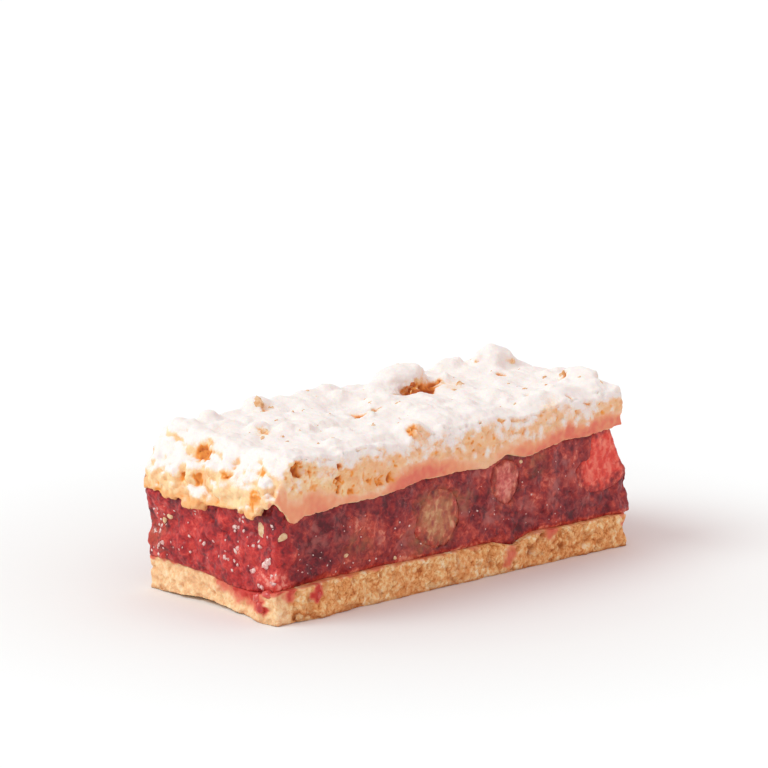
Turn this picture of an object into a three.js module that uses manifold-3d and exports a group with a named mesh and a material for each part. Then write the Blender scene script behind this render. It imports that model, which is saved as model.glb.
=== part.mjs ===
// A cut bar of currant cake: shortcrust base, set currant filling with larger pieces of fruit in its
// cut faces, and a thick baked crumble on top. X runs along the bar, Y across it and Z up.
import * as THREE from "three";
import { mergeVertices } from "three/addons/utils/BufferGeometryUtils.js";
import { SimplexNoise } from "three/addons/math/SimplexNoise.js";
import Module from "manifold-3d";

const wasm = await Module();
wasm.setup();
const { lerp, smoothstep, seededRandom } = THREE.MathUtils;

// Driving sizes, in millimetres
const barLength = 110;
const barWidth = 46;
const baseHeight = 8;
const fruitTopStart = 24; // top of the filling at the -X end
const fruitTopEnd = 30; // and at the +X end
const crumbleTopStart = 38; // general top of the crumble at the -X end
const crumbleTopEnd = 40.5;
const seam = 0.3; // clearance between two layers
const fruitInset = 1.2; // how far the filling's -Y face stands back from the crumble's
const shoulder = 3.8; // rounding along the top's edges
const crumbPitch = 7.5; // typical size of a crumb of the topping
const crumbRelief = 2.2; // height of the packed crumbs over the gaps between them
const currantPitch = 7; // typical size of a cooked currant in the filling
const currantRelief = 2; // how far the currants bulge out of the cut faces
const topCrumbs = 16; // crumbs scattered over the top
const endCrumbs = 9; // and down the crumbled -X end

const halfLength = barLength / 2;
const halfWidth = barWidth / 2;
const gridCells = [36, 14]; // every layer is divided alike along X and Y, so their seams lie parallel
const fillingFloors = 7; // rows of faces up the filling's sides

seededRandom(41);
const noise = new SimplexNoise({ random: () => seededRandom() });

// Smooth unevenness from -1 to 1, whose swells lie about one pitch apart
const swell = (x, y, z, pitch) => noise.noise3d(x / pitch, y / pitch, z / pitch);

// 1 at a spot and falling to 0 past its reach
const bell = (distance, reach) => Math.exp(-((distance / reach) ** 2));

// Rounded grains packed side by side: 1 on their crowns and 0 in the gaps between them
function cobbles(x, y, z, pitch) {
  const home = [x, y, z].map((value) => Math.floor(value / pitch));
  let nearest = pitch;
  for (let index = 0; index < 27; index += 1) {
    const cell = home.map((value, axis) => value + (Math.floor(index / 3 ** axis) % 3) - 1);
    const [i, j, k] = cell;
    const centre = cell.map((value, axis) => {
      const shift = 0.4 * noise.noise3d(5.31 * i + 17.7 * axis, 7.13 * j, 3.97 * k);
      return (value + 0.5 + shift) * pitch;
    });
    nearest = Math.min(nearest, Math.hypot(x - centre[0], y - centre[1], z - centre[2]));
  }
  return 1 - Math.min(1, nearest / (0.8 * pitch)) ** 2;
}

// Rises of a layer's top: the middle of each, its reach along X and Y, and its height
const juiceSoaks = [
  { middle: [-55, -8], reach: [7, 11], height: -2.2 },
  { middle: [18.5, -23], reach: [4, 6], height: -1.9 },
];
const cornerHeap = [{ middle: [-55, -21], reach: [8, 8], height: 4.4 }];
const sidePeak = [{ middle: [16, -23], reach: [3, 5], height: 1.5 }];

const rise = (rises, x, y) =>
  rises.reduce((sum, { middle, reach, height }) => {
    return sum + height * bell(x - middle[0], reach[0]) * bell(y - middle[1], reach[1]);
  }, 0);

// Top of the base, into which juice has soaked at the -X end and at one place on the long side
const baseTop = (x, y) => baseHeight + 0.4 * swell(x, y, 0, 14) + rise(juiceSoaks, x, y);

// Top of the filling: it climbs along the bar, with a heaped corner and a peak under one crumb
function fruitTop(x, y) {
  const along = (x + halfLength) / barLength;
  const climb = lerp(fruitTopStart, fruitTopEnd, along) + 0.45 * swell(x, y, 20, 16);
  return climb + rise([...cornerHeap, ...sidePeak], x, y);
}

// Where the crumble's rim hangs lowest in front of the filling's -Y face: place, reach and depth
const rimDrops = [
  { at: -52.5, reach: 7, depth: 5.6 },
  { at: -24, reach: 4, depth: 1 },
  { at: 9, reach: 4.5, depth: 1.3 },
  { at: 24, reach: 5.5, depth: 1.2 },
];

// Underside of the crumble: it lies on the filling, and its rim hangs just in front of the -Y face
function crumbleUnder(x, y) {
  const onFruit = fruitTop(x, y) + seam + 0.15 * rise(cornerHeap, x, y);
  const overRim = smoothstep(-y, halfWidth - fruitInset + seam, halfWidth);
  const drops = rimDrops.reduce((sum, { at, reach, depth }) => sum + depth * bell(x - at, reach), 0);
  return onFruit - overRim * (0.5 + drops * smoothstep(x, -halfLength - 0.8, -halfLength + 2));
}

// Top of the crumble before the separate crumbs are fused on: it climbs along the bar and to the back
function crumbleTop(x, y) {
  const along = (x + halfLength) / barLength;
  const back = 1.2 * smoothstep(y, -12, 18);
  const level = lerp(crumbleTopStart, crumbleTopEnd, along) + back + 0.8 * swell(x, y, 40, 26);
  const fromSide = halfWidth - Math.abs(y);
  const fromEnd = Math.min(x + halfLength, halfLength - x);
  const inside = Math.min(shoulder, Math.max(0, Math.min(fromSide, fromEnd)));
  const drop = shoulder - Math.sqrt(shoulder ** 2 - (shoulder - inside) ** 2);
  return level - drop + crumbRelief * (cobbles(x, y, 40, crumbPitch) - 0.6);
}

// A grid line's place across the bar: one narrow cell along each edge, and even cells between
function gridLine(fraction, cells, half, rim) {
  const index = Math.round(((fraction + 1) / 2) * cells);
  if (index === 0 || index === cells) {
    return Math.sign(fraction) * half;
  }
  return lerp(rim - half, half - rim, (index - 1) / (cells - 2));
}

// One layer of the bar: a divided box with its top and bottom laid on two height functions and its
// sides pushed out by endOut and faceOut, whose effect fades inwards over the rim cells
function layer({ cells, rim, low, high, endOut, faceOut }) {
  const box = new THREE.BoxGeometry(2, 2, 2, ...cells);
  box.deleteAttribute("normal");
  box.deleteAttribute("uv");
  const geometry = mergeVertices(box);
  const corners = geometry.getAttribute("position");
  const corner = new THREE.Vector3();
  for (let i = 0; i < corners.count; i += 1) {
    corner.fromBufferAttribute(corners, i);
    const x = gridLine(corner.x, cells[0], halfLength, rim);
    const y = gridLine(corner.y, cells[1], halfWidth, rim);
    const level = (corner.z + 1) / 2;
    const height = lerp(low(x, y), high(x, y), level);
    const nearEnd = smoothstep(Math.abs(x), halfLength - 3 * rim, halfLength);
    const nearFace = smoothstep(Math.abs(y), halfWidth - 3 * rim, halfWidth);
    const movedX = x + Math.sign(x) * nearEnd * endOut(Math.sign(x), y, height, level);
    const movedY = y + Math.sign(y) * nearFace * faceOut(Math.sign(y), x, height, level);
    corners.setXYZ(i, movedX, movedY, lerp(low(movedX, movedY), high(movedX, movedY), level));
  }
  return geometry;
}

// three.js geometry to a solid for cutting and joining, and back
function toSolid(geometry) {
  const bare = geometry.clone();
  bare.deleteAttribute("normal");
  bare.deleteAttribute("uv");
  const merged = mergeVertices(bare);
  return new wasm.Manifold(
    new wasm.Mesh({
      numProp: 3,
      vertProperties: new Float32Array(merged.getAttribute("position").array),
      triVerts: new Uint32Array(merged.getIndex().array),
    }),
  );
}

function toGeometry(solid) {
  const mesh = solid.getMesh();
  const geometry = new THREE.BufferGeometry();
  geometry.setAttribute("position", new THREE.BufferAttribute(mesh.vertProperties, 3));
  geometry.setIndex(new THREE.BufferAttribute(mesh.triVerts, 1));
  geometry.computeVertexNormals();
  return geometry;
}

// The outer shell alone, without loose scraps or the hollows that fusing seals
function outerShell(solid) {
  return solid.decompose().sort((one, other) => other.volume() - one.volume())[0];
}

// An uneven rounded lump with half sizes radii
function lump({ centre, radii, detail, rough, extra = 0 }) {
  const geometry = new THREE.IcosahedronGeometry(1, detail);
  const corners = geometry.getAttribute("position");
  const corner = new THREE.Vector3();
  for (let i = 0; i < corners.count; i += 1) {
    corner.fromBufferAttribute(corners, i);
    const uneven = 1 + rough * swell(corner.x + centre[0], corner.y + centre[1], corner.z + centre[2], 0.9);
    corner.multiplyScalar(uneven);
    corners.setXYZ(
      i,
      centre[0] + corner.x * (radii[0] + extra),
      centre[1] + corner.y * (radii[1] + extra),
      centre[2] + corner.z * (radii[2] + extra),
    );
  }
  return toSolid(geometry);
}

// Shortcrust base: a flat underside, crumbly sides and one corner that bulges out at the -X end
function makeBase() {
  const cornerBulge = (y) => 1.9 * bell(y + 19, 5.5) + 0.5 * smoothstep(y, 5, 20);
  const footBulge = (side, x) => (side < 0 ? 0.9 * bell(x + 42, 8) : 0);
  return layer({
    cells: [...gridCells, 2],
    rim: fruitInset,
    low: () => 0,
    high: baseTop,
    endOut: (side, y, z) => (side < 0 ? cornerBulge(y) - 0.3 : 0.9) + 0.5 * swell(side * 9, y, z, 7),
    faceOut: (side, x, z) => footBulge(side, x) + 0.6 * swell(x, side * 9, z, 8) - 0.1,
  });
}

// How far the filling's ends stand out: at -X upright, with its far corner pressed out below the
// crumble, and at +X bulging over the base and sloping back towards the top, with a ridge
function fruitLean(side, y, z) {
  if (side < 0) {
    const farCorner = smoothstep(y, 2, 20);
    const pressed = 0.9 + 1.5 * bell(z - 24, 3) - 1.4 * bell(z - 17.5, 3);
    return farCorner * pressed - 0.4 * bell(z - 19, 6);
  }
  return lerp(4, -4.1, (z - baseHeight) / (fruitTopEnd - baseHeight)) + 1.7 * bell(z - 17.4, 2.8);
}

// The filling's layer, whose cooked berries bulge out of the cut faces, and which may be grown
function makeFruitLayer({ floors, bulge, grow = 0 }) {
  const berries = (x, y, z, level) =>
    bulge * Math.sin(Math.PI * level) * (cobbles(x, y, z, currantPitch) - 0.5) + grow;
  return layer({
    cells: [...gridCells, floors],
    rim: fruitInset,
    low: (x, y) => baseTop(x, y) + seam,
    high: (x, y) => fruitTop(x, y) + grow,
    endOut: (side, y, z, level) => fruitLean(side, y, z) + berries(side * 40, y, z, level),
    faceOut: (side, x, z, level) => berries(x, side * 20, z, level) - (side < 0 ? fruitInset : 0),
  });
}

// Larger pieces of fruit that the knife has cut through, flat along the filling's long face
const fruitPieces = {
  pale_berry: [{ centre: [-5.4, -17.8, 16.8], radii: [7.8, 6.8, 8.4] }],
  rose_berry: [{ centre: [16.4, -18.6, 21.8], radii: [5.2, 5, 6.8] }],
  red_fruit_piece: [
    { centre: [50.8, -19.8, 24.5], radii: [5.8, 6.2, 8.5] },
    { centre: [48.4, -19.8, 19.2], radii: [8.8, 6, 4.6] },
  ],
};

function makeFruit() {
  const cutFaces = toSolid(makeFruitLayer({ floors: fillingFloors, bulge: 0 }));
  let filling = toSolid(makeFruitLayer({ floors: fillingFloors, bulge: currantRelief }));
  const pieces = {};
  for (const [name, shapes] of Object.entries(fruitPieces)) {
    const [fruit, room] = [0, seam].map((extra) => {
      return wasm.Manifold.union(shapes.map((shape) => lump({ ...shape, detail: 2, rough: 0.08, extra })));
    });
    pieces[name] = toGeometry(outerShell(fruit.intersect(cutFaces)));
    filling = filling.subtract(room);
  }
  return { filling: toGeometry(outerShell(filling)), pieces };
}

// Crumbs that stand out of the topping: the largest ones first, by place and half size
const largeCrumbs = [
  { centre: [45, 12.5, 41], radii: [6.4, 5, 5] },
  { centre: [13.6, 12, 40.4], radii: [8.8, 5.6, 4.9] },
  { centre: [24, 7.5, 39.6], radii: [4.4, 3.8, 3] },
  { centre: [35, 17.5, 40], radii: [5, 4, 3.4] },
  { centre: [-27, 17.5, 38.8], radii: [4.6, 4, 3.6] },
  { centre: [-4, 18, 39], radii: [4.6, 3.8, 3] },
  { centre: [-39.5, 2.5, 38.4], radii: [3.6, 3.2, 2.6] },
  { centre: [-11.5, -18.8, 37.4], radii: [4.6, 3.9, 3.4] },
  { centre: [-50, -17.6, 32.4], radii: [6, 5.8, 5.6] },
  { centre: [-54.4, -3.5, 29], radii: [3, 5, 4] },
  { centre: [-54.6, 13, 28.6], radii: [2.8, 5, 3.4] },
  { centre: [51, -11, 40.3], radii: [4, 6, 3] },
  { centre: [53.2, -19.6, 32.4], radii: [2.8, 2.6, 2.2] },
];

// Smaller crumbs scattered by a seeded draw over the top and down the crumbled -X end
function smallCrumbs() {
  const crumbs = [];
  for (let i = 0; i < topCrumbs; i += 1) {
    const x = lerp(-48, 51, seededRandom());
    const y = lerp(-20, 20, seededRandom());
    const size = lerp(2.2, 3.6, seededRandom());
    crumbs.push({ centre: [x, y, crumbleTop(x, y) - 0.35 * size], radii: [size, size * 0.9, size * 0.75] });
  }
  for (let i = 0; i < endCrumbs; i += 1) {
    const y = lerp(-14, 21, (i + seededRandom()) / endCrumbs);
    const up = seededRandom();
    const size = lerp(2.5, 3.7, seededRandom());
    crumbs.push({ centre: [lerp(-55.2, -52.4, up), y, lerp(27, 36, up)], radii: [size * 0.8, size, size] });
  }
  return crumbs;
}

// Hollows between the crumbs, where the baked dough shows under the sugar
const hollows = [
  { centre: [12.8, 5.6, 40.4], radii: [5.6, 1.7, 1.6] },
  { centre: [-55.4, 7, 34.4], radii: [2.4, 2.6, 1.8] },
  { centre: [-48.6, -23.6, 35.6], radii: [2.6, 1.8, 1.9] },
  { centre: [-13, -23.4, 37], radii: [1.8, 1.6, 2.2] },
];

// Crumble topping: cut straight on the long sides, crumbling away down the -X end
function makeCrumble() {
  const footOut = (y) => 1.8 + 0.9 * smoothstep(y, 5, 20);
  const slope = (side, y, level) => (side < 0 ? lerp(footOut(y), -3.4, level ** 2.4) : -0.6);
  const slab = layer({
    cells: [...gridCells, 4],
    rim: fruitInset - seam,
    low: crumbleUnder,
    high: crumbleTop,
    endOut: (side, y, z, level) => slope(side, y, level) + cobbles(side * 50, y, z, crumbPitch) - 0.5,
    faceOut: (side, x, z) => 0.45 * swell(x, side * 30, z, 6),
  });
  const crumbs = [...largeCrumbs, ...smallCrumbs()].map((crumb) =>
    lump({ ...crumb, detail: crumb.radii[0] > 5 ? 2 : 1, rough: 0.12 }),
  );
  const pits = hollows.map((hollow) => lump({ ...hollow, detail: 1, rough: 0.1 }));
  const fruitRoom = toSolid(makeFruitLayer({ floors: fillingFloors, bulge: currantRelief, grow: 2 * seam }));
  const clearCrumbs = wasm.Manifold.union(crumbs).subtract(fruitRoom);
  const joined = toSolid(slab).add(clearCrumbs);
  return toGeometry(outerShell(wasm.Manifold.difference([joined, ...pits])));
}

const finishes = {
  shortcrust_base: { color: "#d8aa70", roughness: 0.9 },
  currant_filling: { color: "#8c3138", roughness: 0.4 },
  pale_berry: { color: "#b58a5c", roughness: 0.4 },
  rose_berry: { color: "#b9494d", roughness: 0.4 },
  red_fruit_piece: { color: "#d9534b", roughness: 0.4 },
  crumble_topping: { color: "#f1e4d6", roughness: 0.95 },
};

const { filling, pieces } = makeFruit();
const shapes = {
  shortcrust_base: makeBase(),
  currant_filling: filling,
  ...pieces,
  crumble_topping: makeCrumble(),
};

const cake = new THREE.Group();
for (const [name, geometry] of Object.entries(shapes)) {
  const mesh = new THREE.Mesh(geometry, new THREE.MeshStandardMaterial({ ...finishes[name], metalness: 0 }));
  mesh.name = name;
  cake.add(mesh);
}

// The origin is the middle of the underside of the bar's box
const middle = new THREE.Box3().setFromObject(cake).getCenter(new THREE.Vector3());
cake.position.set(-middle.x, -middle.y, 0);

export default cake;
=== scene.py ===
import math
import random

import bmesh
import bpy
import numpy as np
from mathutils import Matrix, Vector, noise
from mathutils.bvhtree import BVHTree


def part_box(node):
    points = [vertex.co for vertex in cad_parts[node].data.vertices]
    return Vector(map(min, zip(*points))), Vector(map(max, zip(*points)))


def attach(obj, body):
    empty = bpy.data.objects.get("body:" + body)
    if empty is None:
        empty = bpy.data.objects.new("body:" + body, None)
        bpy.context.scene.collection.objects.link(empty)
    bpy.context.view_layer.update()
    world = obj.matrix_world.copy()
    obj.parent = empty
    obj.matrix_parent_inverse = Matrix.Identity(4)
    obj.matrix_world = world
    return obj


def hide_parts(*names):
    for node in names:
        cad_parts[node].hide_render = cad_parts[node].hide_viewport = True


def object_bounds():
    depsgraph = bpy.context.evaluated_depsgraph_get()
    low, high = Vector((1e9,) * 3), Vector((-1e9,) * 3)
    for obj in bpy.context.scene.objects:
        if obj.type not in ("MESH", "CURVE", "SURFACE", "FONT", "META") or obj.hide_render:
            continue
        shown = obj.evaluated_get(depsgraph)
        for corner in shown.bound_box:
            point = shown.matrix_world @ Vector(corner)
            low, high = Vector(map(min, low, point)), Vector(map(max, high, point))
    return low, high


mm = 0.001
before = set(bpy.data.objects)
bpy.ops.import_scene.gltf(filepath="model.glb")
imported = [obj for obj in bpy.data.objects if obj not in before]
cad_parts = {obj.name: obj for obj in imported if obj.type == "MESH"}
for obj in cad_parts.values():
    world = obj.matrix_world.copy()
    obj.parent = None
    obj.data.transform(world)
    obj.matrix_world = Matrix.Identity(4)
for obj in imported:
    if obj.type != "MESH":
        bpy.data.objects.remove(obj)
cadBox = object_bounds()
boxLow, boxHigh = [np.array(corner) / mm for corner in cadBox]
barMiddle = np.array((-0.57, 0.23, 0.0))  # the straight bar's middle, a little beside the box's middle
weldDistance = 0.002  # mm: a CAD mesh's corners that are closer than this are one
hiddenThinning = 0.93  # share of the faces that goes where a surface lies against its neighbour
fullTurn = 6.28
random.seed(7)


# shared helpers. Places, pitches and sizes below are millimetres, from the bar's middle, and meshes are in
# metres. The weights in the sums were matched to the photograph.

def linearColour(hexText):
    parts = [int(hexText[i:i + 2], 16) / 255 for i in (1, 3, 5)]
    return (*[c / 12.92 if c <= 0.04045 else ((c + 0.055) / 1.055) ** 2.4 for c in parts], 1.0)


def addNode(tree, kind, settings=None, links=None):
    node = tree.nodes.new(kind)
    for key, value in (settings or {}).items():
        if key == "stops":
            ramp = node.color_ramp
            while len(ramp.elements) < len(value):
                ramp.elements.new(1.0)
            for element, (place, colour) in zip(ramp.elements, value):
                element.position = place
                element.color = linearColour(colour)
        elif isinstance(key, int) or key in node.inputs:
            node.inputs[key].default_value = value
        else:
            setattr(node, key, value)
    for key, socket in (links or {}).items():
        tree.links.new(socket, node.inputs[key])
    return node


def startMaterial(name, attributes=(), **sockets):
    material = bpy.data.materials.new(name)
    material.use_nodes = True
    tree = material.node_tree
    shader = tree.nodes["Principled BSDF"]
    for key, value in sockets.items():
        shader.inputs[key.replace("_", " ")].default_value = value
    place = addNode(tree, "ShaderNodeTexCoord").outputs["Object"]
    marks = {}
    for mark in attributes:
        marks[mark] = addNode(tree, "ShaderNodeAttribute", {"attribute_name": mark}).outputs["Fac"]
    return material, tree, shader, place, marks


def layerColours(tree, colour, layers):
    # each layer is painted over the last one as far as its factor goes
    for factor, cover in layers:
        links = {0: factor, 6: colour}
        settings = {"data_type": "RGBA"}
        if isinstance(cover, str):
            settings[7] = linearColour(cover)
        else:
            links[7] = cover
        colour = addNode(tree, "ShaderNodeMix", settings, links).outputs[2]
    return colour


def newPiece(name, shape, replaced=(), material=None):
    mesh = bpy.data.meshes.new(name)
    shape.to_mesh(mesh)
    shape.free()
    mesh.shade_smooth()
    piece = bpy.data.objects.new(name, mesh)
    bpy.context.scene.collection.objects.link(piece)
    if material:
        mesh.materials.append(material)
    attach(piece, "root")
    if replaced:
        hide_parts(*replaced)
    return piece


def nodeCopy(nodeName):
    shape = bmesh.new()
    shape.from_mesh(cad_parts[nodeName].data)
    bmesh.ops.remove_doubles(shape, verts=shape.verts, dist=weldDistance * mm)
    return shape


def bakeModifiers(piece):
    graph = bpy.context.evaluated_depsgraph_get()
    finished = bpy.data.meshes.new_from_object(piece.evaluated_get(graph))
    worn = piece.data
    piece.modifiers.clear()
    piece.data = finished
    bpy.data.meshes.remove(worn)


def voxelRemesh(piece, voxel):
    modifier = piece.modifiers.new("evenMesh", "REMESH")
    modifier.mode = "VOXEL"
    modifier.voxel_size = voxel * mm
    modifier.use_smooth_shade = True
    bakeModifiers(piece)


def thinHidden(piece, hidden):
    # larger faces where a surface lies against its neighbour
    group = piece.vertex_groups.new(name="hidden")
    group.add(np.flatnonzero(hidden).tolist(), 1.0, "REPLACE")
    modifier = piece.modifiers.new("thinHidden", "DECIMATE")
    modifier.vertex_group = group.name
    modifier.ratio = 1 - hiddenThinning * hidden.mean()
    bakeModifiers(piece)
    piece.vertex_groups.clear()


def readPoints(piece):
    points = np.empty(len(piece.data.vertices) * 3)
    piece.data.vertices.foreach_get("co", points)
    return points.reshape(-1, 3) / mm - barMiddle


def writePoints(piece, points):
    kept = np.clip(points + barMiddle, boxLow, boxHigh)  # nothing stands out of the CAD model's box
    piece.data.vertices.foreach_set("co", (kept * mm).ravel())
    piece.data.update()


def readNormals(piece):
    normals = np.empty(len(piece.data.vertices) * 3)
    piece.data.vertex_normals.foreach_get("vector", normals)
    return normals.reshape(-1, 3)


def finishPiece(piece, **marks):
    # each mark is an attribute from 0 to 1, which the piece's material reads
    for name, values in marks.items():
        layer = piece.data.attributes.new(name, "FLOAT", "POINT")
        layer.data.foreach_set("value", np.clip(values, 0, 1).astype(np.float32))
    print(piece.name + ":", len(piece.data.polygons), "faces")
    return piece


def blurred(piece, values, times):
    # each value drawn most of the way to its neighbours' mean, so many times
    pull = 0.6
    edges = np.empty(len(piece.data.edges) * 2, dtype=np.int64)
    piece.data.edges.foreach_get("vertices", edges)
    one, other = edges.reshape(-1, 2).T
    count = len(piece.data.vertices)
    reach = np.bincount(one, minlength=count) + np.bincount(other, minlength=count)
    flat = values.reshape(count, -1).T.copy()
    for _ in range(times):
        for row in flat:
            around = np.bincount(one, row[other], count) + np.bincount(other, row[one], count)
            row += pull * (around / np.maximum(reach, 1) - row)
    return flat.T.reshape(values.shape)


def evenMesh(piece, look, material):
    # even small faces, larger where the next layer hides them; gives the points and their directions
    voxelRemesh(piece, look["voxel"])
    if "covered" in look:
        inside = (np.abs(readPoints(piece)[:, :2]) < look["covered"]).all(axis=1)
        level = readNormals(piece)[:, 2]
        thinHidden(piece, inside & ((-level if "openTop" in look else abs(level)) > look["coveredLevel"]))
    piece.data.materials.append(material)
    return blurred(piece, readPoints(piece), look["blurs"]), readNormals(piece)


def grain(points, pitch, seed=0):
    # smooth unevenness, brought up to about -1 to 1
    gain = 1.5
    places = points / pitch + np.array((17.3, 5.9, 11.1)) * seed
    return gain * np.array([noise.noise(place) for place in places.tolist()])


def cells(points, pitch, seed=0):
    # packed grains: how domed each is, how near its edge is, and a tint of its own from -1 to 1
    places = points / pitch + np.array((9.7, 3.3, 6.1)) * seed
    found = np.empty((len(points), 3))
    for index, place in enumerate(places.tolist()):
        distances, centres = noise.voronoi(place)
        found[index] = distances[0], distances[1], noise.noise(centres[0] * 5.3)
    domeReach, edgeFall, tintGain = 0.85, 1.8, 1.6
    dome = np.sqrt(np.clip(1 - (found[:, 0] / domeReach) ** 2, 0, 1))
    edge = np.clip(1 - edgeFall * (found[:, 1] - found[:, 0]), 0, 1)
    return dome, edge, tintGain * found[:, 2]


def ease(values, low, high):
    t = np.clip((values - low) / (high - low), 0, 1)
    return t * t * (3 - 2 * t)


def mixed(pair, share):
    # from the pair's first value to its second
    return pair[0] + (pair[1] - pair[0]) * share


def upright(normals):
    # 1 on the bar's sides and 0 on its level faces
    return ease(np.hypot(normals[:, 0], normals[:, 1]), 0.3, 0.8)


def wandering(points, pitch, size, seed=0):
    # the same points pushed about, which gives round marks an uneven outline
    return points + size * np.column_stack([grain(points, pitch, seed + axis) for axis in range(3)])


def spots(points, marks):
    # sum of soft round marks, each x, y and z of its centre, its reach and its strength
    total = np.zeros(len(points))
    for *centre, reach, strength in marks:
        total += strength * np.exp(-((points - centre) ** 2).sum(axis=1) / reach ** 2)
    return total


def surfaceTree(piece):
    return BVHTree.FromPolygons(
        [vertex.co for vertex in piece.data.vertices], [face.vertices[:] for face in piece.data.polygons]
    )


def landing(tree, face, one, other):
    # a place on a face of the bar, found by a line from well outside it, and the surface's direction there
    start, aim = {
        "end": ((-90, one, other), (1, 0, 0)),  # the crushed -X end: across, up
        "slope": ((-90, one, other), (1, 0, -0.15)),  # the same end, a little from above
        "farEnd": ((90, one, other), (-1, 0, 0)),
        "front": ((one, -60, other), (0, 1, 0)),  # the long -Y side: along, up
        "back": ((one, 60, other), (0, -1, 0)),
        "top": ((one, other, 80), (0, 0, -1)),  # along, across
    }[face]
    hit, normal, _, _ = tree.ray_cast((Vector(start) + Vector(barMiddle)) * mm, Vector(aim).normalized())
    return (np.array(hit) / mm - barMiddle, normal) if hit else (None, None)


def lumpTemplates(count, detail, rough):
    # uneven rounded lumps of half size 1, each with its own piece of one noise
    swellRate = 1.3
    templates = []
    for _ in range(count):
        shape = bmesh.new()
        bmesh.ops.create_icosphere(shape, subdivisions=detail, radius=1)
        drift = Vector([random.uniform(-9, 9) for _ in range(3)])
        for vert in shape.verts:
            vert.co *= 1 + rough * noise.noise(vert.co * swellRate + drift)
        template = bpy.data.meshes.new("lumpTemplate")
        shape.to_mesh(template)
        shape.free()
        templates.append(template)
    return templates


def anyTurn(normal):
    # a random turn about the given direction
    lean = normal.normalized().to_track_quat("Z", "Y").to_matrix()
    return lean @ Matrix.Rotation(random.uniform(0, fullTurn), 3, "Z")


def lumpShape(templates, placed):
    # many copies in one shape, each with a centre, half sizes and a turn, kept inside the CAD model's box
    shape = bmesh.new()
    for centre, radii, turn in placed:
        made = len(shape.verts)
        shape.from_mesh(random.choice(templates))
        shape.verts.ensure_lookup_table()
        form = Matrix(turn).to_3x3() @ Matrix.Diagonal(Vector(radii))
        middle = Vector(centre) + Vector(barMiddle)
        for vert in shape.verts[made:]:
            vert.co = np.clip(form @ vert.co + middle, boxLow, boxHigh) * mm
    for template in templates:
        bpy.data.meshes.remove(template)
    return shape


def sumOf(tree, start, parts):
    # a number or socket, plus each socket times its weight
    level = start
    for socket, weight in parts:
        node = addNode(tree, "ShaderNodeMath", {"operation": "MULTIPLY_ADD", 1: weight}, {0: socket})
        if isinstance(level, float):
            node.inputs[2].default_value = level
        else:
            tree.links.new(level, node.inputs[2])
        level = node.outputs[0]
    return level


def softStep(tree, socket, low, high, top=1.0):
    settings = {"interpolation_type": "SMOOTHSTEP", 1: low, 2: high, 4: top}
    return addNode(tree, "ShaderNodeMapRange", settings, {0: socket}).outputs[0]


def clouds(tree, place, pitch, detail=2.0, distortion=0.0):
    settings = {"Scale": 1 / (pitch * mm), "Detail": detail, "Distortion": distortion}
    return addNode(tree, "ShaderNodeTexNoise", settings, {"Vector": place}).outputs["Fac"]


def addBump(tree, shader, height, strength, depth, sockets=("Normal",)):
    bump = addNode(tree, "ShaderNodeBump", {"Strength": strength, "Distance": depth * mm}, {"Height": height})
    for name in sockets:
        tree.links.new(bump.outputs["Normal"], shader.inputs[name])


# camera, floor and light

view = {
    "target": (-3.16, 0.23, 44.8),
    "distance": 943.9,
    "azimuth": -42,
    "elevation": 12,
    "lens": 187.5,  # mm, on the 36 mm sensor
    "clipStart": 0.05,  # m
}

studio = {
    "skyColour": "#fff4f4",
    "skyStrength": 0.8,
    "keyColour": "#e6ffff",
    "keyStrength": 1.45,
    "keySpread": 36,  # apparent width in degrees, which softens the shadow
    "keyHeight": 45,  # degrees above the floor
    "keyFrom": 155,  # degrees from +X towards +Y
    "floorShadeColours": [(0, "#ece6e6"), (0.35, "#f4f3f2"), (1, "#fcffff")],  # painted shade: greyer under the cake, white far off
    "floorShadeFade": (40, 150),  # mm from the bar's middle between which the painted shade fades and the floor turns white
    "floorHalf": 4000,
    "floorDrop": 0.05,  # just clear of the underside
}


def placeCamera():
    turn = math.radians(view["azimuth"])
    rise = math.radians(view["elevation"])
    back = Vector((math.sin(turn) * math.cos(rise), -math.cos(turn) * math.cos(rise), math.sin(rise)))
    camera = bpy.data.objects.new("camera", bpy.data.cameras.new("camera"))
    camera.data.lens = view["lens"]
    camera.data.clip_start = view["clipStart"]
    camera.location = (Vector(view["target"]) + view["distance"] * back) * mm
    camera.rotation_euler = (math.pi / 2 - rise, 0, turn)
    bpy.context.scene.collection.objects.link(camera)
    bpy.context.scene.camera = camera


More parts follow.
